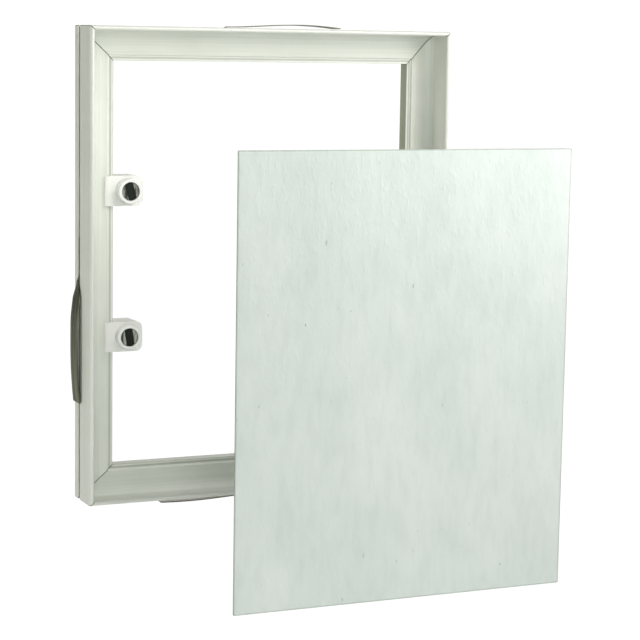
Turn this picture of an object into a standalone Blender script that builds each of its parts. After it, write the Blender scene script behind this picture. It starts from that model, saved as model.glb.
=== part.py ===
"""Magnetic access panel for a 20 x 25 cm tile: PVC frame, adjustable magnets and steel plate.

Metres, +Z up. The frame stands in a wall opening: -Y is the room side, +X is right.
The origin is on the outer side of the bottom rail, at the middle of its length.
"""
import math
from collections import namedtuple

import bmesh
import bpy
from mathutils import Matrix, Vector

# Frame, over its outer faces
FRAME_WIDTH = 0.2140
FRAME_HEIGHT = 0.2600
TOUCH_GAP = 0.0003

# Rail profile: "inset" is measured inwards from the outer face, "depth" back from the front
PROFILE_DEPTH = 0.0292
ORIGIN_DEPTH = 0.0110
LIP_THICKNESS = 0.0024
LIP_OUTER_ROUND = 0.0034
LIP_BEAD_DEPTH = 0.0030
WALL_THICKNESS = 0.0016
RECESS_DEPTH = 0.0172
FILLET_SAG = 0.0006
COVE_FOOT_INSET = 0.0060
COVE_FOOT_DEPTH = 0.0204
COVE_SAG = 0.0005
RIDGE_INSET = 0.0157
RIDGE_DEPTH = 0.0184
RIDGE_RADIUS = 0.0006
LEDGE_START_INSET = 0.0160
LEDGE_START_DEPTH = 0.0195
LEDGE_EDGE_DEPTH = 0.0190
FLANGE_INSET = 0.0186
FLANGE_CHAMFER = 0.0024
CHAMBER_WALL = 0.0015
CHAMBER_CORNER_WALL = 0.0018
CHAMBER_RIDGE_WALL = 0.0024
BACK_CORNER_RADIUS = 0.0009
GROOVE_FRONT = 0.0194
GROOVE_OPENING = 0.0036
GROOVE_LIP = 0.0007
GROOVE_FLOOR = 0.0018
GROOVE_BACK = 0.0264

# Corner keys, in the chamber of the profile
KEY_LEG = 0.0340
KEY_THICKNESS = 0.0022
KEY_INSET = 0.0056
KEY_WIDTH = 0.0084
KEY_BARBS = 3
KEY_BARB_PITCH = 0.0070
KEY_BARB_DEPTH = 0.0006
KEY_TIP_CHAMFER = 0.0020

# Magnet lugs, clipped on the inner flange of the stiles
LUG_SPREAD = 0.0804
LUG_RISE = 0.0006
LUG_FACE_DEPTH = 0.0170
LUG_BACK_DEPTH = 0.0330
LUG_HEIGHT = 0.0166
LUG_END_INSET = 0.0352
LUG_CORNER_RADIUS = 0.0038
LUG_TONGUE_INSET = 0.0136
LUG_TONGUE_HEIGHT = 0.0162
LUG_TONGUE_GAP = 0.0004
LUG_TONGUE_EDGE = 0.0009
LUG_FACE_START = 0.0147
LUG_HOOK_INSET = 0.0120
LUG_HOOK_THICKNESS = 0.0020
LUG_EDGE_BEVEL = 0.0004

# Adjusters: sleeve and magnet, measured from the lug
AXIS_INSET = 0.0266
SLEEVE_DIAMETER = 0.0136
SLEEVE_LENGTH = 0.0190
SLEEVE_RIM_RADIUS = 0.0005
SLEEVE_FLOOR = 0.0020
SLEEVE_BACK_BORE = 0.0080
SLEEVE_CLEARANCE = 0.0003
SLEEVE_PROUD_UPPER = 0.0050
SLEEVE_PROUD_LOWER = 0.0038
MAGNET_DIAMETER = 0.0096
MAGNET_LENGTH = 0.0070
MAGNET_BAND = 0.0040
MAGNET_SETBACK = 0.0004
POLE_SETBACK = 0.0002
BAND_TILT_UPPER = 17.0
BAND_TILT_LOWER = 9.0

# Leaf springs, hooked in the groove round the outside
LEAF_THICKNESS = 0.0005
LEAF_WIDTH = 0.0120
LEAF_MIDDLE_DEPTH = 0.0220
LEAF_CHORD = 0.0670
LEAF_TAIL_LENGTH = 0.0200
LEAF_TAIL_WIDTH = 0.0054
LEAF_NECK_LENGTH = 0.0040
LEAF_FLARE_LENGTH = 0.0100
LEAF_STEPS = 22

# How each leaf is bent: its bulge over the face, the lift of its free end, and the shares of
# its length at which it is fully raised and at which it begins to come down again
LEFT_LEAF_BULGE = 0.0019
LEFT_LEAF_LIFT = 0.0004
LEFT_LEAF_RISE = 0.36
LEFT_LEAF_CREST = 0.50
RIGHT_LEAF_BULGE = 0.0018
RIGHT_LEAF_LIFT = 0.0003
RIGHT_LEAF_RISE = 0.40
RIGHT_LEAF_CREST = 0.52
TOP_LEAF_BULGE = 0.0016
TOP_LEAF_LIFT = 0.0002
TOP_LEAF_RISE = 0.62
TOP_LEAF_CREST = 0.60
BOTTOM_LEAF_BULGE = 0.0027
BOTTOM_LEAF_LIFT = 0.0038
BOTTOM_LEAF_RISE = 0.40
BOTTOM_LEAF_CREST = 0.50

# The middle of each leaf along its rail, from the rail's own middle
LEFT_LEAF_OFFSET = -0.0420
RIGHT_LEAF_OFFSET = -0.0380
TOP_LEAF_OFFSET = 0.0114
BOTTOM_LEAF_OFFSET = -0.0270

# Steel plate, as it lies off the frame in front of it
PLATE_WIDTH = 0.1920
PLATE_HEIGHT = 0.2390
PLATE_THICKNESS = 0.0010
PLATE_CORNER_RADIUS = 0.0006
PLATE_OFF_RIGHT = 0.0359
PLATE_OFF_FRONT = 0.1059
PLATE_OFF_DOWN = 0.0508

ARC_STEPS = 8
ROUND_STEPS = 40

SMALLEST = 0.00001
SMOOTH_ANGLE = math.radians(35)
HALF_WIDTH = FRAME_WIDTH / 2
HALF_HEIGHT = FRAME_HEIGHT / 2
FRONT_Y = -ORIGIN_DEPTH
SEAT_DEPTH = LUG_FACE_DEPTH - SLEEVE_PROUD_UPPER

Bend = namedtuple("Bend", "bulge lift rise crest offset")
LEAF_BENDS = {
    "left": Bend(LEFT_LEAF_BULGE, LEFT_LEAF_LIFT, LEFT_LEAF_RISE, LEFT_LEAF_CREST, LEFT_LEAF_OFFSET),
    "right": Bend(RIGHT_LEAF_BULGE, RIGHT_LEAF_LIFT, RIGHT_LEAF_RISE, RIGHT_LEAF_CREST, RIGHT_LEAF_OFFSET),
    "top": Bend(TOP_LEAF_BULGE, TOP_LEAF_LIFT, TOP_LEAF_RISE, TOP_LEAF_CREST, TOP_LEAF_OFFSET),
    "bottom": Bend(BOTTOM_LEAF_BULGE, BOTTOM_LEAF_LIFT, BOTTOM_LEAF_RISE, BOTTOM_LEAF_CREST, BOTTOM_LEAF_OFFSET),
}


def clear_scene():
    for old in list(bpy.data.objects):
        bpy.data.objects.remove(old, do_unlink=True)


def new_collection(name):
    collection = bpy.data.collections.new(name)
    bpy.context.scene.collection.children.link(collection)
    return collection


def new_material(name, colour, roughness, metallic=0.0):
    material = bpy.data.materials.new(name)
    material.use_nodes = True
    shader = material.node_tree.nodes["Principled BSDF"]
    shader.inputs["Base Color"].default_value = (*colour, 1.0)
    shader.inputs["Roughness"].default_value = roughness
    shader.inputs["Metallic"].default_value = metallic
    return material


def evaluated_mesh(source):
    """The object's mesh with its modifiers applied; the object itself is removed."""
    bpy.context.view_layer.update()
    graph = bpy.context.evaluated_depsgraph_get()
    mesh = bpy.data.meshes.new_from_object(source.evaluated_get(graph))
    bpy.data.objects.remove(source, do_unlink=True)
    return mesh


def extruded_mesh(name, outlines, thickness):
    """A flat outline, with holes if it has more than one loop, extruded along local Z."""
    curve = bpy.data.curves.new(name, "CURVE")
    curve.dimensions = "2D"
    curve.fill_mode = "BOTH"
    curve.extrude = thickness / 2
    for outline in outlines:
        spline = curve.splines.new("POLY")
        spline.points.add(len(outline) - 1)
        for point, (across, along) in zip(spline.points, outline):
            point.co = (across, along, 0, 1)
        spline.use_cyclic_u = True
    source = bpy.data.objects.new(name, curve)
    bpy.context.scene.collection.objects.link(source)
    mesh = evaluated_mesh(source)
    bpy.data.curves.remove(curve)
    shape = bmesh.new()
    shape.from_mesh(mesh)
    bmesh.ops.remove_doubles(shape, verts=shape.verts, dist=SMALLEST)
    bmesh.ops.recalc_face_normals(shape, faces=shape.faces)
    shape.to_mesh(mesh)
    shape.free()
    return mesh


def mesh_object(name, mesh, collection, material=None):
    made = bpy.data.objects.new(name, mesh)
    collection.objects.link(made)
    if material:
        mesh.materials.clear()
        mesh.materials.append(material)
    return made


def shade_round(mesh):
    mesh.shade_smooth()
    mesh.set_sharp_from_angle(angle=SMOOTH_ANGLE)


def arc(centre, radius, start, end, steps=ARC_STEPS):
    """Points on an arc, angles in degrees, both ends included."""
    turn = [math.radians(start + (end - start) * step / steps) for step in range(steps + 1)]
    return [(centre[0] + radius * math.cos(a), centre[1] + radius * math.sin(a)) for a in turn]


def bowed_line(start, end, sag, steps=ARC_STEPS):
    """A shallow arc between two points, bulging by sag to the left of its direction."""
    first, last = Vector(start), Vector(end)
    run = last - first
    side = Vector((-run.y, run.x)).normalized()
    points = []
    for step in range(steps + 1):
        share = step / steps
        points.append(tuple(first + run * share + side * sag * 4 * share * (1 - share)))
    return points


def cove_line(offset=0.0):
    """The shallow cove in the floor of the recess, from its foot up to the ridge."""
    foot = (COVE_FOOT_INSET, COVE_FOOT_DEPTH + offset)
    ridge = (RIDGE_INSET - RIDGE_RADIUS, RIDGE_DEPTH + offset)
    return bowed_line(foot, ridge, COVE_SAG)


def recess_floor(offset=0.0):
    """The whole floor of the recess: a fillet down from the wall, then the cove."""
    wall_end = (WALL_THICKNESS, RECESS_DEPTH + offset)
    foot = (COVE_FOOT_INSET, COVE_FOOT_DEPTH + offset)
    return bowed_line(wall_end, foot, FILLET_SAG) + cove_line(offset)[1:]


def rail_outline():
    """Outer boundary of the profile as (inset, depth) points."""
    lip_radius = LIP_THICKNESS / 2
    stretch = LIP_OUTER_ROUND / lip_radius
    lip = [(x, y * stretch) for x, y in arc((lip_radius, lip_radius), lip_radius, 180, 270)]
    lip += arc((lip_radius, lip_radius), lip_radius, 270, 360)[1:]
    bead_end = LIP_BEAD_DEPTH - (LIP_THICKNESS - WALL_THICKNESS)
    wall = [(LIP_THICKNESS, bead_end), (WALL_THICKNESS, LIP_BEAD_DEPTH)]
    ridge_centre = (RIDGE_INSET - RIDGE_RADIUS, RIDGE_DEPTH + RIDGE_RADIUS)
    ridge = arc(ridge_centre, RIDGE_RADIUS, 290, 360, 4)
    ledge = [(LEDGE_START_INSET, LEDGE_START_DEPTH), (FLANGE_INSET, LEDGE_EDGE_DEPTH)]
    back_centre = (BACK_CORNER_RADIUS, PROFILE_DEPTH - BACK_CORNER_RADIUS)
    back = arc(back_centre, BACK_CORNER_RADIUS, 90, 180, 4)
    opening_back = GROOVE_FRONT + GROOVE_OPENING
    groove = [
        (0, opening_back),
        (GROOVE_LIP, opening_back),
        (GROOVE_LIP, GROOVE_BACK),
        (GROOVE_FLOOR, GROOVE_BACK),
        (GROOVE_FLOOR, GROOVE_FRONT),
        (0, GROOVE_FRONT),
    ]
    return lip + wall + recess_floor() + ridge + ledge + flange_back(0) + back + groove


def flange_back(offset):
    """The bevelled rear edge of the flange, moved out of the material by offset."""
    shift = offset * (math.sqrt(2) - 1)
    return [
        (FLANGE_INSET + offset, PROFILE_DEPTH - FLANGE_CHAMFER + shift),
        (FLANGE_INSET - FLANGE_CHAMFER + shift, PROFILE_DEPTH + offset),
    ]


def chamber_outline():
    """The hollow inside the profile, which the corner keys fill."""
    floor = PROFILE_DEPTH - CHAMBER_WALL
    groove_side = GROOVE_FLOOR + CHAMBER_WALL
    under_floor = [point for point in recess_floor(CHAMBER_CORNER_WALL) if point[0] > groove_side]
    under_ridge = (RIDGE_INSET - CHAMBER_WALL, RIDGE_DEPTH + CHAMBER_RIDGE_WALL)
    under_ledge = (FLANGE_INSET - CHAMBER_WALL, LEDGE_EDGE_DEPTH + CHAMBER_CORNER_WALL)
    inner = [under_ridge, under_ledge] + flange_back(-CHAMBER_WALL)
    return [(groove_side, floor)] + under_floor[:-1] + inner


def mitred_rail_mesh(name, length):
    """A length of the profile, its ends cut at 45 degrees with half a gap at each."""
    mesh = extruded_mesh(name, [rail_outline(), chamber_outline()], length)
    setback = TOUCH_GAP / 2 * math.sqrt(2)
    for vertex in mesh.vertices:
        reach = length / 2 - vertex.co.x - setback
        vertex.co.z = math.copysign(reach, vertex.co.z)
    shade_round(mesh)
    return mesh


# Each rail's profile points inwards: turn about Y, and the middle of its outer face
def rail_places():
    return {
        "left": (0, Vector((-HALF_WIDTH, FRONT_Y, HALF_HEIGHT)), FRAME_HEIGHT),
        "right": (180, Vector((HALF_WIDTH, FRONT_Y, HALF_HEIGHT)), FRAME_HEIGHT),
        "top": (90, Vector((0, FRONT_Y, FRAME_HEIGHT)), FRAME_WIDTH),
        "bottom": (-90, Vector((0, FRONT_Y, 0)), FRAME_WIDTH),
    }


def place_on_rail(side):
    """Matrix whose X runs inwards, Y back into the wall and Z along the rail."""
    turn, middle, _ = rail_places()[side]
    return Matrix.Translation(middle) @ Matrix.Rotation(math.radians(turn), 4, "Y")


def build_rails(parts, material):
    for side, (_, _, length) in rail_places().items():
        rail = mesh_object(f"rail_{side}", mitred_rail_mesh(side, length), parts, material)
        rail.matrix_world = place_on_rail(side)


def key_leg_points():
    """One leg of the corner key along its outer edge, with barbs that bite in the chamber."""
    points = [(KEY_INSET, KEY_LEG - KEY_TIP_CHAMFER)]
    for barb in range(KEY_BARBS):
        start = KEY_LEG - KEY_TIP_CHAMFER * 2 - barb * KEY_BARB_PITCH
        points.append((KEY_INSET - KEY_BARB_DEPTH, start))
        points.append((KEY_INSET, start - KEY_BARB_PITCH / 2))
    return points


def corner_key_mesh():
    """L-shaped key, flat, with its outer corner towards the origin."""
    inner = KEY_INSET + KEY_WIDTH
    leg = key_leg_points()
    tip = [(inner, KEY_LEG - KEY_TIP_CHAMFER), (inner - KEY_TIP_CHAMFER, KEY_LEG)]
    tip.append((KEY_INSET + KEY_TIP_CHAMFER / 2, KEY_LEG))
    upright = [(inner, inner)] + tip + leg
    lying = [(y, x) for x, y in reversed(tip + leg)]
    outline = upright + [(KEY_INSET, KEY_INSET)] + lying
    return extruded_mesh("corner_key", [outline], KEY_THICKNESS)


def build_corner_keys(parts, material):
    mesh = corner_key_mesh()
    depth = PROFILE_DEPTH - CHAMBER_WALL - TOUCH_GAP - KEY_THICKNESS / 2
    corners = {
        "top_left": (-1, 1, 0),
        "top_right": (1, 1, 90),
        "bottom_right": (1, -1, 180),
        "bottom_left": (-1, -1, 270),
    }
    lay_flat = Matrix.Rotation(math.radians(-90), 4, "X")
    for name, (right, up, turn) in corners.items():
        key = mesh_object(f"corner_key_{name}", mesh, parts, material)
        corner = Vector((right * HALF_WIDTH, FRONT_Y + depth, HALF_HEIGHT + up * HALF_HEIGHT))
        turned = Matrix.Rotation(math.radians(turn), 4, "Y")
        key.matrix_world = Matrix.Translation(corner) @ turned @ lay_flat


def lug_section():
    """The lug's section as (inset, depth): it hooks round the ridge and the flange."""
    gap = TOUCH_GAP
    tongue = [point for point in cove_line(-LUG_TONGUE_GAP) if point[0] >= LUG_TONGUE_INSET]
    lip = (LUG_TONGUE_INSET, tongue[0][1] - LUG_TONGUE_EDGE)
    hook_front = PROFILE_DEPTH + gap
    hook_back = hook_front + LUG_HOOK_THICKNESS
    over_ledge = LEDGE_EDGE_DEPTH - gap
    flange_edge, flange_foot = flange_back(gap)
    return [
        lip,
        (LUG_FACE_START, LUG_FACE_DEPTH),
        (LUG_END_INSET, LUG_FACE_DEPTH),
        (LUG_END_INSET, LUG_BACK_DEPTH),
        (FLANGE_INSET + LUG_HOOK_THICKNESS, LUG_BACK_DEPTH),
        (FLANGE_INSET, hook_back),
        (LUG_HOOK_INSET, hook_back),
        (LUG_HOOK_INSET, hook_front),
        flange_foot,
        flange_edge,
        (FLANGE_INSET + gap, over_ledge),
        (RIDGE_INSET + gap, over_ledge),
        (RIDGE_INSET, RIDGE_DEPTH - gap),
    ] + list(reversed(tongue))


def lug_silhouette():
    """The lug seen from the room: rounded outer corners and a straight tongue on the frame."""
    half = LUG_HEIGHT / 2
    radius = LUG_CORNER_RADIUS
    end = LUG_END_INSET - radius
    tongue = LUG_TONGUE_HEIGHT / 2
    outer = arc((end, -half + radius), radius, -90, 0)
    outer += arc((end, half - radius), radius, 0, 90)
    start = RIDGE_INSET + TOUCH_GAP
    inner = [(start, half), (start, tongue), (LUG_HOOK_INSET, tongue)]
    return outer + inner + [(x, -y) for x, y in reversed(inner)]


def lug_mesh(cutters):
    """Local X runs inwards from the outer face, Y back and Z up, as on the stile."""
    slab = extruded_mesh("lug_section", [lug_section()], LUG_HEIGHT)
    section = mesh_object("lug_section", slab, cutters)
    outline = [(x, -z) for x, z in lug_silhouette()]
    prism = extruded_mesh("lug_silhouette", [outline], LUG_BACK_DEPTH * 2)
    front = mesh_object("lug_silhouette", prism, cutters)
    front.matrix_world = Matrix.Rotation(math.radians(90), 4, "X")
    bpy.ops.mesh.primitive_cylinder_add(
        vertices=ROUND_STEPS,
        radius=SLEEVE_DIAMETER / 2 + SLEEVE_CLEARANCE,
        depth=LUG_BACK_DEPTH,
        location=(AXIS_INSET, (LUG_FACE_DEPTH + LUG_BACK_DEPTH) / 2, 0),
        rotation=(math.radians(90), 0, 0),
    )
    bore = bpy.context.object
    move_to(bore, cutters)
    add_boolean(section, front, "INTERSECT")
    add_boolean(section, bore, "DIFFERENCE")
    add_bevel(section, LUG_EDGE_BEVEL)
    mesh = evaluated_mesh(section)
    for cutter in (front, bore):
        cutter.hide_render = True
        cutter.display_type = "WIRE"
    shade_round(mesh)
    return mesh


def move_to(made, collection):
    for owner in list(made.users_collection):
        owner.objects.unlink(made)
    collection.objects.link(made)


def add_boolean(target, cutter, operation):
    boolean = target.modifiers.new(operation.lower(), "BOOLEAN")
    boolean.operation = operation
    boolean.solver = "EXACT"
    boolean.object = cutter


def add_bevel(target, width):
    bevel = target.modifiers.new("edges", "BEVEL")
    bevel.width = width
    bevel.segments = 1
    bevel.limit_method = "ANGLE"
    bevel.angle_limit = math.radians(50)


def lug_places():
    """Name of each adjuster: its side, height, sleeve stand-out and band tilt."""
    places = {}
    for side in ("left", "right"):
        places[f"upper_{side}"] = (side, LUG_RISE + LUG_SPREAD / 2, SLEEVE_PROUD_UPPER, BAND_TILT_UPPER)
        places[f"lower_{side}"] = (side, LUG_RISE - LUG_SPREAD / 2, SLEEVE_PROUD_LOWER, BAND_TILT_LOWER)
    return places


def build_lugs(parts, cutters, material):
    mesh = lug_mesh(cutters)
    for name, (side, height, _, _) in lug_places().items():
        lug = mesh_object(f"magnet_lug_{name}", mesh, parts, material)
        lug.matrix_world = Matrix.Translation((0, 0, height)) @ place_on_rail(side)


def sleeve_mesh():
    """Turned sleeve about local Z; its open front, with the magnet bore, is at the top."""
    outer = SLEEVE_DIAMETER / 2
    bore = MAGNET_DIAMETER / 2 + TOUCH_GAP
    front_floor = -(MAGNET_LENGTH + MAGNET_SETBACK + TOUCH_GAP)
    back_floor = front_floor - SLEEVE_FLOOR
    rim = arc((outer - SLEEVE_RIM_RADIUS, -SLEEVE_RIM_RADIUS), SLEEVE_RIM_RADIUS, 90, 0, 3)
    profile = [(0, front_floor), (bore, front_floor), (bore, 0)] + rim
    profile += [(outer, -SLEEVE_LENGTH), (SLEEVE_BACK_BORE / 2, -SLEEVE_LENGTH)]
    profile += [(SLEEVE_BACK_BORE / 2, back_floor), (0, back_floor)]
    shape = bmesh.new()
    vertices = [shape.verts.new((x, 0, z)) for x, z in profile]
    for first, second in zip(vertices, vertices[1:]):
        shape.edges.new((first, second))
    mesh = bpy.data.meshes.new("threaded_sleeve")
    shape.to_mesh(mesh)
    shape.free()
    source = bpy.data.objects.new("sleeve_profile", mesh)
    bpy.context.scene.collection.objects.link(source)
    screw = source.modifiers.new("turn", "SCREW")
    screw.steps = ROUND_STEPS
    screw.render_steps = ROUND_STEPS
    screw.use_merge_vertices = True
    screw.merge_threshold = SMALLEST
    turned = evaluated_mesh(source)
    shade_round(turned)
    return turned


def segment_outline(radius, inner, steps=14):
    """The slice of a disc beyond the line x = inner."""
    angle = math.degrees(math.acos(inner / radius))
    return arc((0, 0), radius, -angle, angle, steps)


def band_outline(radius, half_width, steps=6):
    """The slice of a disc between the lines x = -half_width and x = half_width."""
    angle = math.degrees(math.asin(half_width / radius))
    upper = arc((0, 0), radius, 90 - angle, 90 + angle, steps)
    lower = arc((0, 0), radius, 270 - angle, 270 + angle, steps)
    return upper + lower


def build_adjusters(parts, materials):
    radius = MAGNET_DIAMETER / 2
    sleeve = sleeve_mesh()
    block = extruded_mesh("magnet_block", [band_outline(radius, MAGNET_BAND / 2)], MAGNET_LENGTH)
    pole_start = MAGNET_BAND / 2 + TOUCH_GAP
    pole = extruded_mesh("pole_plate", [segment_outline(radius, pole_start)], MAGNET_LENGTH)
    for mesh in (block, pole):
        shade_round(mesh)
    block_middle = -(MAGNET_SETBACK + MAGNET_LENGTH / 2)
    pole_middle = block_middle + MAGNET_SETBACK - POLE_SETBACK
    face_room = Matrix.Rotation(math.radians(90), 4, "X")
    for name, (side, height, proud, tilt) in lug_places().items():
        right = 1 if side == "right" else -1
        across = right * (HALF_WIDTH - AXIS_INSET)
        front = FRONT_Y + LUG_FACE_DEPTH - proud
        axis = bpy.data.objects.new(f"adjuster_axis_{name}", None)
        parts.objects.link(axis)
        turned = Matrix.Rotation(math.radians(-tilt), 4, "Y")
        axis.matrix_world = Matrix.Translation((across, front, HALF_HEIGHT + height)) @ turned @ face_room
        made = [(mesh_object(f"threaded_sleeve_{name}", sleeve, parts, materials["sleeve"]), 0, 0)]
        made.append((mesh_object(f"magnet_block_{name}", block, parts, materials["magnet"]), block_middle, 0))
        made.append((mesh_object(f"pole_plate_a_{name}", pole, parts, materials["pole"]), pole_middle, 0))
        made.append((mesh_object(f"pole_plate_b_{name}", pole, parts, materials["pole"]), pole_middle, 180))
        for piece, along, turn in made:
            piece.parent = axis
            piece.location = (0, 0, along)
            piece.rotation_euler = (0, 0, math.radians(turn))


def blend(start, end, share):
    """Smooth step from start to end."""
    share = min(max(share, 0.0), 1.0)
    return start + (end - start) * share * share * (3 - 2 * share)


def leaf_height(bend, share):
    """Height over the outer face at a share of the way to the free end."""
    raised = blend(0, 1, share / bend.rise)
    past_crest = max(share - bend.crest, 0) / (1 - bend.crest)
    seat = TOUCH_GAP + LEAF_THICKNESS / 2
    return seat + bend.bulge * raised * (1 - past_crest**2) + bend.lift * share**2


def leaf_stations(bend):
    """Stations along the leaf: (along, height over the outer face, front depth, back depth)."""
    start = -LEAF_CHORD / 2
    tail_front = GROOVE_FRONT + TOUCH_GAP
    tail_height = -(GROOVE_LIP + GROOVE_FLOOR) / 2
    neck_back = GROOVE_FRONT + GROOVE_OPENING - TOUCH_GAP
    tail_back = tail_front + LEAF_TAIL_WIDTH
    tail_end = start - LEAF_NECK_LENGTH
    stations = [
        (tail_end - LEAF_TAIL_LENGTH, tail_height, tail_front, tail_back),
        (tail_end - LEAF_NECK_LENGTH, tail_height, tail_front, tail_back),
        (tail_end - LEAF_NECK_LENGTH / 2, tail_height, tail_front, neck_back),
        (tail_end, tail_height, tail_front, neck_back),
    ]
    for step in range(LEAF_STEPS + 1):
        share = step / LEAF_STEPS
        along = start + LEAF_CHORD * share
        flare = (along - start) / LEAF_FLARE_LENGTH
        front = blend(tail_front, LEAF_MIDDLE_DEPTH - LEAF_WIDTH / 2, flare)
        back = blend(neck_back, LEAF_MIDDLE_DEPTH + LEAF_WIDTH / 2, flare)
        stations.append((along, leaf_height(bend, share), front, back))
    return stations


def leaf_mesh(bend):
    """Strip of spring steel in rail coordinates: X inwards, Y back, Z along the rail."""
    shape = bmesh.new()
    rows = []
    for along, height, front, back in leaf_stations(bend):
        middle = (front + back) / 2
        rows.append([shape.verts.new((-height, depth, along)) for depth in (front, middle, back)])
    for lower, upper in zip(rows, rows[1:]):
        for column in range(2):
            corners = (lower[column], lower[column + 1], upper[column + 1], upper[column])
            shape.faces.new(corners)
    bmesh.ops.recalc_face_normals(shape, faces=shape.faces)
    mesh = bpy.data.meshes.new("leaf_spring")
    shape.to_mesh(mesh)
    shape.free()
    source = bpy.data.objects.new("leaf_sheet", mesh)
    bpy.context.scene.collection.objects.link(source)
    sheet = source.modifiers.new("thickness", "SOLIDIFY")
    sheet.thickness = LEAF_THICKNESS
    sheet.offset = 0
    solid = evaluated_mesh(source)
    shade_round(solid)
    return solid


def build_leaf_springs(parts, material):
    """One leaf on each rail; the side leaves' tails point up, the top's left, the bottom's right."""
    mirrored = Matrix.Scale(-1, 4, (0, 0, 1))
    for side, bend in LEAF_BENDS.items():
        mesh = leaf_mesh(bend)
        if side == "left":
            mesh.transform(mirrored)
            mesh.flip_normals()
        leaf = mesh_object(f"leaf_spring_{side}", mesh, parts, material)
        offset = (0, 0, bend.offset) if side in ("left", "right") else (bend.offset, 0, 0)
        leaf.matrix_world = Matrix.Translation(offset) @ place_on_rail(side)


def build_plate(parts, material):
    """The loose plate; moved back by its three offsets it sits on the magnets."""
    seated = FRONT_Y + SEAT_DEPTH - TOUCH_GAP - PLATE_THICKNESS / 2
    centre = (PLATE_OFF_RIGHT, seated - PLATE_OFF_FRONT, HALF_HEIGHT - PLATE_OFF_DOWN)
    bpy.ops.mesh.primitive_cube_add(size=1, location=centre)
    plate = bpy.context.object
    plate.name = "steel_plate"
    plate.scale = (PLATE_WIDTH, PLATE_THICKNESS, PLATE_HEIGHT)
    bpy.ops.object.transform_apply(location=False, rotation=False, scale=True)
    move_to(plate, parts)
    plate.data.materials.append(material)
    round_upright_edges(plate)


def round_upright_edges(plate):
    """Only the four short edges through the sheet are rounded, as a sheared blank has them."""
    shape = bmesh.new()
    shape.from_mesh(plate.data)
    through = [edge for edge in shape.edges if edge.calc_length() < PLATE_THICKNESS * 2]
    bmesh.ops.bevel(
        shape,
        geom=through,
        offset=PLATE_CORNER_RADIUS,
        segments=3,
        profile=0.5,
        affect="EDGES",
    )
    shape.to_mesh(plate.data)
    shape.free()


def main():
    clear_scene()
    parts = new_collection("magnetic_access_panel")
    cutters = new_collection("cutters")
    pvc = new_material("white_pvc", (0.80, 0.82, 0.76), 0.38)
    key_plastic = new_material("key_plastic", (0.30, 0.31, 0.32), 0.5)
    spring_steel = new_material("spring_steel", (0.075, 0.078, 0.062), 0.35, 0.8)
    galvanised = new_material("galvanised_steel", (0.66, 0.70, 0.68), 0.42, 0.9)
    moulding = new_material("white_moulding", (0.86, 0.87, 0.83), 0.45)
    adjuster = {
        "sleeve": new_material("white_sleeve", (0.84, 0.85, 0.80), 0.45),
        "magnet": new_material("black_ferrite", (0.02, 0.022, 0.02), 0.6),
        "pole": new_material("bright_steel", (0.40, 0.41, 0.37), 0.3, 1.0),
    }
    build_rails(parts, pvc)
    build_corner_keys(parts, key_plastic)
    build_lugs(parts, cutters, moulding)
    build_adjusters(parts, adjuster)
    build_leaf_springs(parts, spring_steel)
    build_plate(parts, galvanised)


main()
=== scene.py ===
"""Finished look of the magnetic access panel: a PVC frame, its magnets and the loose plate."""
import math

import bmesh
import bpy
from mathutils import Matrix, Vector


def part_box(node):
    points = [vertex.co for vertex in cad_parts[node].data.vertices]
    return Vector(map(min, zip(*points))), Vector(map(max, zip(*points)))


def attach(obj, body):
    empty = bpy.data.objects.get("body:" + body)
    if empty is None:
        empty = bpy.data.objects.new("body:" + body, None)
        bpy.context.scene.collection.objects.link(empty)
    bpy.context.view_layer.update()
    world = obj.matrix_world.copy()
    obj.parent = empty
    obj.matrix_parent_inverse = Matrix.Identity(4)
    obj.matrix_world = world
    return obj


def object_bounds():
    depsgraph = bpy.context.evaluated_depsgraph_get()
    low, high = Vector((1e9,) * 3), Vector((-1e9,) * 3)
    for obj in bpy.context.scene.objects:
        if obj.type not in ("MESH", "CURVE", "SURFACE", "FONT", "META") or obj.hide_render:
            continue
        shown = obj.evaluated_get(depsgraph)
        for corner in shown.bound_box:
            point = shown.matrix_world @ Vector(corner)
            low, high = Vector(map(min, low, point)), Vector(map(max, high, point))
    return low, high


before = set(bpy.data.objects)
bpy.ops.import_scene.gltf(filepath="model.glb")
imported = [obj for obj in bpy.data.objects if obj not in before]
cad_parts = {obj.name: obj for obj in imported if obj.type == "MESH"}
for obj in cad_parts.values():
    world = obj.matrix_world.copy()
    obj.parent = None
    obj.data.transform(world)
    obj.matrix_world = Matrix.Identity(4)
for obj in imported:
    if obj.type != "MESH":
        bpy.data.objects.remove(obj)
CAD_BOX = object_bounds()

# Camera, in the part's own frame
CAMERA_PLACE = (-0.43445, -1.0563, 0.25183)
CAMERA_RIGHT = (0.91528, -0.40249, 0.01634)
CAMERA_UP = (0.03903, 0.12898, 0.99088)
CAMERA_BACK = (-0.40093, -0.90629, 0.13377)
CAMERA_LENS = 114.87
CAMERA_SENSOR = 36.0
CAMERA_CLIP_START = 0.01

# Screw thread on the sleeves: it stays inside the bore of the lug
THREAD_PITCH = 0.0015
THREAD_HEIGHT = 0.00022
THREAD_WIDTH = 0.0007
THREAD_CREST_WIDTH = THREAD_WIDTH / 3
THREAD_START = 0.0022
THREAD_END_MARGIN = 0.0010
THREAD_STEPS = 36
THREAD_ROOT = 0.0068
THREAD_SINK = 0.00005
ADJUSTERS = ("upper_left", "lower_left", "upper_right", "lower_right")

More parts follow.
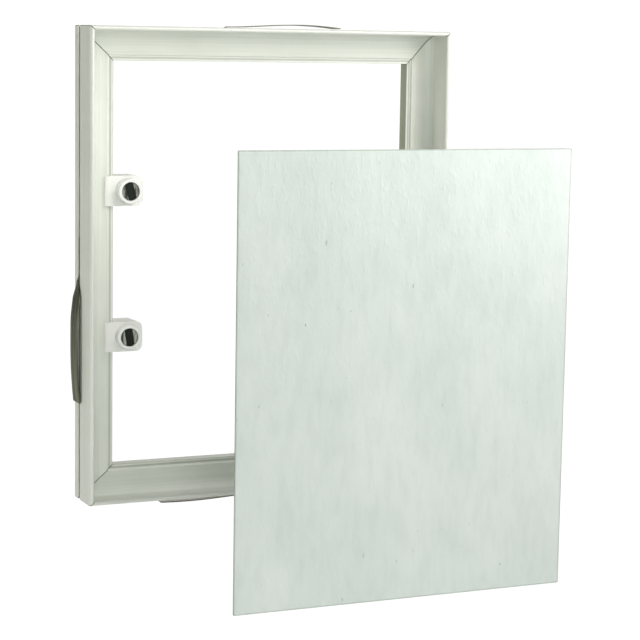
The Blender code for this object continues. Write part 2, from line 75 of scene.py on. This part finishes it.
# Frame and opening, which the marks on the rails follow; their middle is at X 0
RIGHT_RAIL_LOW, RIGHT_RAIL_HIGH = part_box("rail_right")
TOP_RAIL_LOW, TOP_RAIL_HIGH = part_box("rail_top")
FRAME_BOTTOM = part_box("rail_bottom")[0].z
FRAME_MIDDLE = (FRAME_BOTTOM + TOP_RAIL_HIGH.z) / 2
FRAME_HALF_WIDTH = RIGHT_RAIL_HIGH.x
FRAME_HALF_HEIGHT = TOP_RAIL_HIGH.z - FRAME_MIDDLE
OPENING_HALF_WIDTH = RIGHT_RAIL_LOW.x
OPENING_HALF_HEIGHT = TOP_RAIL_LOW.z - FRAME_MIDDLE
INNER_EDGE_MARGIN = 0.0002

# Noise: a stretch is its factors along X, Y and Z, and after it come scale and detail
EVEN = (1, 1, 1)
NOISE_ROUGHNESS = 0.55

# Spans: the values of a noise, or of a mask of 0 and 1, between which a colour changes
CLOUD_SPAN = (0.3, 0.7)
MASK_SPAN = (0.4, 0.6)

# Extruded PVC of the rails; here and below a bump is its strength and distance in metres
PVC_DARK = (0.76, 0.79, 0.71)
PVC_LIGHT = (0.84, 0.86, 0.79)
# The inner edge colour is painted shade: the faces round the opening are drawn darker, as if in
# shadow.
PVC_INNER_EDGE_PAINTED_SHADE = (0.56, 0.58, 0.48)
PVC_CLOUDS = (EVEN, 22.0, 4.0)
PVC_UPRIGHT_STRETCH = (1, 1, 0.01)
PVC_LEVEL_STRETCH = (0.01, 1, 1)
PVC_LINES = (900.0, 2.0)
PVC_LINE_SPAN = (0.45, 0.75)
PVC_LINE_TINT = (0.93, 0.93, 0.93)
PVC_ROUGHNESS = (0.30, 0.46)
PVC_BUMP = (0.15, 0.0001)
MITRE_TINT = (0.52, 0.53, 0.50)
MITRE_HALF_WIDTH = 0.0004
# The crease tint is painted shade: the shadow that falls into the crease behind the ridge.
CREASE_PAINTED_SHADE = (0.66, 0.66, 0.64)
CREASE_INSET = 0.0170
CREASE_HALF_WIDTH = 0.00055

# Moulded plastics: darkest and lightest colour, and the roughness that the pebble varies
KEY_PLASTIC = ((0.26, 0.27, 0.28), (0.33, 0.34, 0.35), 0.5)
LUG_PLASTIC = ((0.86, 0.87, 0.82), (0.91, 0.92, 0.87), 0.5)
SLEEVE_PLASTIC = ((0.88, 0.89, 0.85), (0.93, 0.94, 0.90), 0.45)
MOULDING_CLOUDS = (EVEN, 90.0, 4.0)
MOULDING_PEBBLES = (EVEN, 2600.0, 2.0)
MOULDING_SMOOTHER = 0.06
MOULDING_ROUGHER = 0.08
MOULDING_BUMP = (0.12, 0.00005)
MOULDING_SHINE = 0.2

# Ferrite of the magnets: stops are place on the ramp and colour
FERRITE_STOPS = ((0.35, (0.006, 0.007, 0.005)), (0.7, (0.030, 0.033, 0.025)))
FERRITE_GRAIN = (EVEN, 3200.0, 3.0)
FERRITE_ROUGHNESS = (0.45, 0.7)
FERRITE_BUMP = (0.25, 0.00004)
FERRITE_SHINE = 0.15

# Steel of the pole pieces, whose bright streaks are painted glints, and of the leaves, with
# drawn marks
POLE_GLINT_STOPS = ((0.38, (0.07, 0.075, 0.06)), (0.62, (0.55, 0.56, 0.50)))
POLE_ROUGHNESS = (0.22, 0.4)
POLE_GLINT_STRETCH = (1, 0.3, 0.25)
POLE_GLINT_SCALE = 650.0
LEAF_STOPS = ((0.36, (0.055, 0.058, 0.030)), (0.66, (0.28, 0.285, 0.185)))
LEAF_ROUGHNESS = (0.34, 0.5)
LEAF_UPRIGHT_STRETCH = (1, 1, 0.03)
LEAF_LEVEL_STRETCH = (0.03, 1, 1)
LEAF_SCALE = 420.0
STEEL_DETAIL = 5.0
STEEL_NOISE_ROUGHNESS = 0.6
STEEL_BUMP = (0.2, 0.00003)

# Galvanised sheet of the plate
ZINC_DARK = (0.555, 0.615, 0.575)
ZINC_LIGHT = (0.615, 0.665, 0.625)
ZINC_CLOUDS = ((1, 1, 0.6), 26.0, 3.0)
ZINC_ROUGHNESS = (0.36, 0.50)
ZINC_METALLIC = 0.8
STREAKS = ((1, 1, 0.3), 210.0, 2.0)
STREAK_SPAN = (0.42, 0.72)
STREAK_TINT = (0.95, 0.955, 0.95)
PITS = ((1, 1, 0.35), 480.0, 2.0)
PIT_SPAN = (0.72, 0.78)
PIT_TINT = (0.50, 0.50, 0.47)
PRESSED_MARKS = ((1, 1, 0.5), 330.0, 2.5)
PRESSED_SPAN = (0.5, 0.8)
PRESSED_BUMP = (0.4, 0.00012)
RIM_TINT = (0.74, 0.75, 0.72)
RIM_WIDTH = 0.0006

# Studio: the floor, what it and the surround give off, and how white the camera sees them
FLOOR_SIZE = 60
FLOOR_GAP = 0.0003
FLOOR_DARK = (0.80, 0.80, 0.80)
FLOOR_PALE = (0.83, 0.83, 0.83)
FLOOR_CLOUDS = (EVEN, 0.7, 4.0)
FLOOR_ROUGHNESS = 0.9
FLOOR_GLOW = (0.93, 1.0, 0.98, 1.0)
FLOOR_LIGHT = 0.16
SURROUND_LIGHT = 0.02
BACKDROP_WHITE = 1.05
WHITE = (1.0, 1.0, 1.0, 1.0)

# Soft square lights round the object: name, place, size in metres, power in watts, colour
LIGHT_TARGET = (0.02, -0.05, 0.12)
SOFT_LIGHTS = (
    ("left_back", (-1.3, 0.3, 0.5), 0.8, 5.1, (1.0, 0.99, 0.90)),
    ("right", (1.1, -1.5, 0.75), 1.0, 6.2, (1.0, 1.0, 1.0)),
    ("right_side", (1.5, -0.3, 0.4), 1.0, 0.7, (1.0, 1.0, 1.0)),
    ("top", (0.0, -0.25, 1.3), 0.8, 5.3, (1.0, 1.0, 1.0)),
    ("front", (-0.5, -1.8, 0.4), 1.0, 9.9, (0.98, 1.0, 1.0)),
    ("top_right", (0.45, -0.7, 0.8), 0.6, 5.2, (1.0, 0.935, 0.925)),
    ("gloss_near", (0.8, -0.96, 0.36), 0.5, 2.1, (1.0, 1.0, 1.0)),
    ("gloss_far", (1.2, -1.3, 0.7), 0.6, 1.7, (1.0, 1.0, 1.0)),
    ("back", (0.3, 1.7, 0.2), 1.2, 9.0, (1.0, 1.0, 1.0)),
)


def new_material(name):
    """A material, its node tree and its Principled shader."""
    material = bpy.data.materials.new(name)
    material.use_nodes = True
    tree = material.node_tree
    shader = tree.nodes["Principled BSDF"]
    return material, tree, shader


def stretched_noise(tree, stretch, scale, detail, roughness=NOISE_ROUGHNESS):
    """Noise in the part's own coordinates, drawn out along an axis with a small factor."""
    place = tree.nodes.new("ShaderNodeTexCoord")
    mapping = tree.nodes.new("ShaderNodeMapping")
    mapping.inputs["Scale"].default_value = stretch
    tree.links.new(place.outputs["Object"], mapping.inputs["Vector"])
    noise = tree.nodes.new("ShaderNodeTexNoise")
    noise.inputs["Scale"].default_value = scale
    noise.inputs["Detail"].default_value = detail
    noise.inputs["Roughness"].default_value = roughness
    tree.links.new(mapping.outputs["Vector"], noise.inputs["Vector"])
    return noise.outputs["Fac"]


def ramp(tree, source, stops):
    """Colour ramp over a value, with two stops as (position, colour)."""
    made = tree.nodes.new("ShaderNodeValToRGB")
    for element, (position, colour) in zip(made.color_ramp.elements, stops):
        element.position = position
        element.color = (*colour, 1.0)
    tree.links.new(source, made.inputs["Fac"])
    return made.outputs["Color"]


def clouded(tree, clouds, dark, light):
    """Slow change between a dark and a light colour."""
    start, end = CLOUD_SPAN
    return ramp(tree, stretched_noise(tree, *clouds), ((start, dark), (end, light)))


def value_range(tree, source, low, high, start=0.0, end=1.0):
    """The source, stretched from the span start to end onto the span low to high."""
    made = tree.nodes.new("ShaderNodeMapRange")
    made.inputs["From Min"].default_value = start
    made.inputs["From Max"].default_value = end
    made.inputs["To Min"].default_value = low
    made.inputs["To Max"].default_value = high
    tree.links.new(source, made.inputs["Value"])
    return made.outputs["Result"]


def add_roughness(tree, shader, source, low, high):
    tree.links.new(value_range(tree, source, low, high), shader.inputs["Roughness"])


def add_bump(tree, shader, source, strength, distance):
    bump = tree.nodes.new("ShaderNodeBump")
    bump.inputs["Strength"].default_value = strength
    bump.inputs["Distance"].default_value = distance
    tree.links.new(source, bump.inputs["Height"])
    tree.links.new(bump.outputs["Normal"], shader.inputs["Normal"])


def darkened(tree, colour, source, span, dark):
    """The colour, multiplied down to the dark tint where the source rises through the span."""
    start, end = span
    spots = ramp(tree, source, ((start, (1.0, 1.0, 1.0)), (end, dark)))
    mix = tree.nodes.new("ShaderNodeMix")
    mix.data_type = "RGBA"
    mix.blend_type = "MULTIPLY"
    mix.inputs["Factor"].default_value = 1.0
    tree.links.new(colour, mix.inputs["A"])
    tree.links.new(spots, mix.inputs["B"])
    return mix.outputs["Result"]


def math_node(tree, operation, *values):
    """One step of arithmetic; each value is a number or another node's output."""
    made = tree.nodes.new("ShaderNodeMath")
    made.operation = operation
    for socket, value in zip(made.inputs, values):
        if isinstance(value, (int, float)):
            socket.default_value = value
        else:
            tree.links.new(value, socket)
    return made.outputs["Value"]


def offset_from_middle(tree, axis, middle):
    """Distance from a middle along one axis, in the part's own coordinates."""
    place = tree.nodes.new("ShaderNodeTexCoord")
    split = tree.nodes.new("ShaderNodeSeparateXYZ")
    tree.links.new(place.outputs["Object"], split.inputs["Vector"])
    return math_node(tree, "ABSOLUTE", math_node(tree, "SUBTRACT", split.outputs[axis], middle))


def mitre_lines(tree):
    """1 on the four corner mitres, where the insets from both outer faces are the same."""
    across = offset_from_middle(tree, "X", 0.0)
    upward = offset_from_middle(tree, "Z", FRAME_MIDDLE)
    beyond = math_node(tree, "SUBTRACT", upward, across)
    on_mitre = FRAME_HALF_HEIGHT - FRAME_HALF_WIDTH
    return math_node(tree, "COMPARE", beyond, on_mitre, MITRE_HALF_WIDTH)


def crease_shade_mask(tree, axis, middle, half_frame):
    """1 on the crease behind the ridge, at one inset from the outer faces, where shade is
    painted.
    """
    across = offset_from_middle(tree, axis, middle)
    return math_node(tree, "COMPARE", across, half_frame - CREASE_INSET, CREASE_HALF_WIDTH)


def extruded_pvc(name, stretch, axis, middle, half_opening, half_frame):
    """White PVC with draw lines along the rail, darker mitres, and painted shade in the crease
    and on the inner edge.
    """
    material, tree, shader = new_material(name)
    white = clouded(tree, PVC_CLOUDS, PVC_DARK, PVC_LIGHT)
    lines = stretched_noise(tree, stretch, *PVC_LINES)
    white = darkened(tree, white, lines, PVC_LINE_SPAN, PVC_LINE_TINT)
    white = darkened(tree, white, mitre_lines(tree), MASK_SPAN, MITRE_TINT)
    # Painted shade: the crease behind the ridge is drawn darker, as if in shadow.
    crease = crease_shade_mask(tree, axis, middle, half_frame)
    white = darkened(tree, white, crease, MASK_SPAN, CREASE_PAINTED_SHADE)
    # Painted shade on the flange's inner faces round the opening.
    across = offset_from_middle(tree, axis, middle)
    inner = math_node(tree, "LESS_THAN", across, half_opening + INNER_EDGE_MARGIN)
    white = darkened(tree, white, inner, MASK_SPAN, PVC_INNER_EDGE_PAINTED_SHADE)
    tree.links.new(white, shader.inputs["Base Color"])
    add_roughness(tree, shader, lines, *PVC_ROUGHNESS)
    add_bump(tree, shader, lines, *PVC_BUMP)
    return material


def moulded_plastic(name, dark, light, rough):
    """Moulded plastic with a fine pebble and slight cloudiness."""
    material, tree, shader = new_material(name)
    tree.links.new(clouded(tree, MOULDING_CLOUDS, dark, light), shader.inputs["Base Color"])
    pebble = stretched_noise(tree, *MOULDING_PEBBLES)
    add_roughness(tree, shader, pebble, rough - MOULDING_SMOOTHER, rough + MOULDING_ROUGHER)
    add_bump(tree, shader, pebble, *MOULDING_BUMP)
    shader.inputs["Specular IOR Level"].default_value = MOULDING_SHINE
    return material


def ferrite():
    """Black ferrite with a fine dull grain."""
    material, tree, shader = new_material("black_ferrite")
    grain = stretched_noise(tree, *FERRITE_GRAIN)
    tree.links.new(ramp(tree, grain, FERRITE_STOPS), shader.inputs["Base Color"])
    add_roughness(tree, shader, grain, *FERRITE_ROUGHNESS)
    add_bump(tree, shader, grain, *FERRITE_BUMP)
    shader.inputs["Specular IOR Level"].default_value = FERRITE_SHINE
    return material


def steel_marks_and_glints(name, stops, rough, stretch, scale):
    """Steel with a noise drawn out along one direction: drawn marks on the leaves, painted
    glints on the pole pieces.
    """
    material, tree, shader = new_material(name)
    marks = stretched_noise(tree, stretch, scale, STEEL_DETAIL, STEEL_NOISE_ROUGHNESS)
    tree.links.new(ramp(tree, marks, stops), shader.inputs["Base Color"])
    add_roughness(tree, shader, marks, *rough)
    add_bump(tree, shader, marks, *STEEL_BUMP)
    shader.inputs["Metallic"].default_value = 1.0
    return material


def plate_rim(tree):
    """1 along the plate's sheared edges, where the colour is drawn darker."""
    low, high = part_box("steel_plate")
    middle = (low + high) / 2
    across = offset_from_middle(tree, "X", middle.x)
    upward = offset_from_middle(tree, "Z", middle.z)
    beside = math_node(tree, "GREATER_THAN", across, high.x - middle.x - RIM_WIDTH)
    above = math_node(tree, "GREATER_THAN", upward, high.z - middle.z - RIM_WIDTH)
    return math_node(tree, "MAXIMUM", beside, above)


def galvanised():
    """Galvanised sheet: pale cloudy zinc with streaks, pressed marks and a few dark pits."""
    material, tree, shader = new_material("galvanised_steel")
    zinc = clouded(tree, ZINC_CLOUDS, ZINC_DARK, ZINC_LIGHT)
    zinc = darkened(tree, zinc, stretched_noise(tree, *STREAKS), STREAK_SPAN, STREAK_TINT)
    zinc = darkened(tree, zinc, stretched_noise(tree, *PITS), PIT_SPAN, PIT_TINT)
    zinc = darkened(tree, zinc, plate_rim(tree), MASK_SPAN, RIM_TINT)
    tree.links.new(zinc, shader.inputs["Base Color"])
    marks = stretched_noise(tree, *PRESSED_MARKS)
    add_roughness(tree, shader, marks, *ZINC_ROUGHNESS)
    raised = value_range(tree, marks, 0.0, 1.0, *PRESSED_SPAN)
    add_bump(tree, shader, raised, *PRESSED_BUMP)
    shader.inputs["Metallic"].default_value = ZINC_METALLIC
    return material


def rail_finishes():
    """PVC for the stiles, and PVC for the top and bottom rails."""
    upright = extruded_pvc(
        "white_pvc_upright", PVC_UPRIGHT_STRETCH, "X", 0.0, OPENING_HALF_WIDTH, FRAME_HALF_WIDTH
    )
    level = extruded_pvc(
        "white_pvc_level",
        PVC_LEVEL_STRETCH,
        "Z",
        FRAME_MIDDLE,
        OPENING_HALF_HEIGHT,
        FRAME_HALF_HEIGHT,
    )
    return upright, level


def pole_steel_with_glints():
    # Painted glints: bright streaks on the pole pieces stand in for highlights.
    return steel_marks_and_glints("bright_steel", POLE_GLINT_STOPS, POLE_ROUGHNESS, POLE_GLINT_STRETCH, POLE_GLINT_SCALE)


def leaf_finish(name, stretch):
    return steel_marks_and_glints(name, LEAF_STOPS, LEAF_ROUGHNESS, stretch, LEAF_SCALE)


def dress_nodes():
    """Every CAD node gets its finished material, found by how its name starts."""
    upright_pvc, level_pvc = rail_finishes()
    upright_leaf = leaf_finish("spring_steel_upright", LEAF_UPRIGHT_STRETCH)
    level_leaf = leaf_finish("spring_steel_level", LEAF_LEVEL_STRETCH)
    by_start = {
        "rail_left": upright_pvc,
        "rail_right": upright_pvc,
        "rail_top": level_pvc,
        "rail_bottom": level_pvc,
        "corner_key": moulded_plastic("key_plastic", *KEY_PLASTIC),
        "magnet_lug": moulded_plastic("white_moulding", *LUG_PLASTIC),
        "threaded_sleeve": moulded_plastic("white_sleeve", *SLEEVE_PLASTIC),
        "magnet_block": ferrite(),
        "pole_plate": pole_steel_with_glints(),
        "leaf_spring_left": upright_leaf,
        "leaf_spring_right": upright_leaf,
        "leaf_spring_top": level_leaf,
        "leaf_spring_bottom": level_leaf,
        "steel_plate": galvanised(),
    }
    for name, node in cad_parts.items():
        material = next(made for start, made in by_start.items() if name.startswith(start))
        node.data.materials.clear()
        node.data.materials.append(material)
    return by_start


def thread_section(fade):
    """Radius and shift along the axis of the ridge's four corners; fade lowers its crest."""
    root = THREAD_ROOT - THREAD_SINK
    crest = THREAD_ROOT + THREAD_HEIGHT * fade
    return (
        (root, -THREAD_WIDTH / 2),
        (crest, -THREAD_CREST_WIDTH / 2),
        (crest, THREAD_CREST_WIDTH / 2),
        (root, THREAD_WIDTH / 2),
    )


def thread_mesh(centre, front, back):
    """Helical ridge round a sleeve whose axis runs along Y, from the front plane to the back."""
    shape = bmesh.new()
    turns = (back - front) / THREAD_PITCH
    count = int(turns * THREAD_STEPS)
    half_turn = THREAD_STEPS / 2
    rows = []
    for step in range(count + 1):
        angle = 2 * math.pi * step / THREAD_STEPS
        along = front + THREAD_PITCH * step / THREAD_STEPS
        fade = min(step, count - step, half_turn) / half_turn
        row = []
        for radius, shift in thread_section(fade):
            x = centre.x + radius * math.cos(angle)
            z = centre.z + radius * math.sin(angle)
            row.append(shape.verts.new((x, along + shift, z)))
        rows.append(row)
    for first, second in zip(rows, rows[1:]):
        for column in range(len(first)):
            after = (column + 1) % len(first)
            shape.faces.new((first[column], first[after], second[after], second[column]))
    shape.faces.new(rows[0])
    shape.faces.new(list(reversed(rows[-1])))
    bmesh.ops.recalc_face_normals(shape, faces=shape.faces)
    mesh = bpy.data.meshes.new("sleeve_thread")
    shape.to_mesh(mesh)
    shape.free()
    mesh.shade_smooth()
    return mesh


def build_threads(material):
    """A screw thread round each sleeve, which moves with it."""
    for name in ADJUSTERS:
        low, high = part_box(f"threaded_sleeve_{name}")
        centre = (low + high) / 2
        mesh = thread_mesh(centre, low.y + THREAD_START, high.y - THREAD_END_MARGIN)
        mesh.materials.append(material)
        thread = bpy.data.objects.new(f"sleeve_thread_{name}", mesh)
        bpy.context.scene.collection.objects.link(thread)
        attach(thread, f"sleeve_{name}")


def build_camera():
    """The camera, looking from where the photograph was taken."""
    data = bpy.data.cameras.new("camera")
    data.lens = CAMERA_LENS
    data.sensor_width = CAMERA_SENSOR
    data.clip_start = CAMERA_CLIP_START
    camera = bpy.data.objects.new("camera", data)
    bpy.context.scene.collection.objects.link(camera)
    axes = (Vector(CAMERA_RIGHT), Vector(CAMERA_UP), Vector(CAMERA_BACK))
    place = Matrix(axes).transposed().to_4x4()
    place.translation = Vector(CAMERA_PLACE)
    camera.matrix_world = place
    bpy.context.scene.camera = camera


def soft_light(name, place, size, power, colour):
    """A square light turned to the object, which the camera doesn't see."""
    data = bpy.data.lights.new(name, "AREA")
    data.energy = power
    data.color = colour
    data.size = size
    light = bpy.data.objects.new(name, data)
    bpy.context.scene.collection.objects.link(light)
    light.location = place
    aim = Vector(LIGHT_TARGET) - Vector(place)
    light.rotation_euler = aim.to_track_quat("-Z", "Y").to_euler()
    light.visible_camera = False


def white_to_camera(tree, lighting, white_node):
    """The lighting shader for every ray but the camera's own, which meets plain white."""
    bright = tree.nodes.new(white_node)
    bright.inputs["Strength"].default_value = BACKDROP_WHITE
    bright.inputs["Color"].default_value = WHITE
    path = tree.nodes.new("ShaderNodeLightPath")
    mix = tree.nodes.new("ShaderNodeMixShader")
    tree.links.new(path.outputs["Is Camera Ray"], mix.inputs["Fac"])
    tree.links.new(lighting.outputs[0], mix.inputs[1])
    tree.links.new(bright.outputs[0], mix.inputs[2])
    return mix.outputs["Shader"]


def build_floor():
    """A pale floor just under the lowest edge."""
    height = CAD_BOX[0].z - FLOOR_GAP
    bpy.ops.mesh.primitive_plane_add(size=FLOOR_SIZE, location=(0, 0, height))
    floor = bpy.context.object
    floor.name = "floor"
    material, tree, shader = new_material("floor_white")
    pale = clouded(tree, FLOOR_CLOUDS, FLOOR_DARK, FLOOR_PALE)
    tree.links.new(pale, shader.inputs["Base Color"])
    shader.inputs["Roughness"].default_value = FLOOR_ROUGHNESS
    shader.inputs["Emission Color"].default_value = FLOOR_GLOW
    shader.inputs["Emission Strength"].default_value = FLOOR_LIGHT
    surface = tree.nodes["Material Output"].inputs["Surface"]
    tree.links.new(white_to_camera(tree, shader, "ShaderNodeEmission"), surface)
    floor.data.materials.append(material)


def build_surround():
    """A surround that lights the object faintly and looks white."""
    world = bpy.data.worlds.new("surround")
    world.use_nodes = True
    tree = world.node_tree
    dim = tree.nodes["Background"]
    dim.inputs["Color"].default_value = WHITE
    dim.inputs["Strength"].default_value = SURROUND_LIGHT
    surface = tree.nodes["World Output"].inputs["Surface"]
    tree.links.new(white_to_camera(tree, dim, "ShaderNodeBackground"), surface)
    bpy.context.scene.world = world


def build_studio():
    """A plain pale floor, a white surround and soft lights, seen without a film look."""
    bpy.context.scene.view_settings.view_transform = "Standard"
    build_floor()
    build_surround()
    for light in SOFT_LIGHTS:
        soft_light(*light)


materials = dress_nodes()
build_threads(materials["threaded_sleeve"])
build_camera()
build_studio()
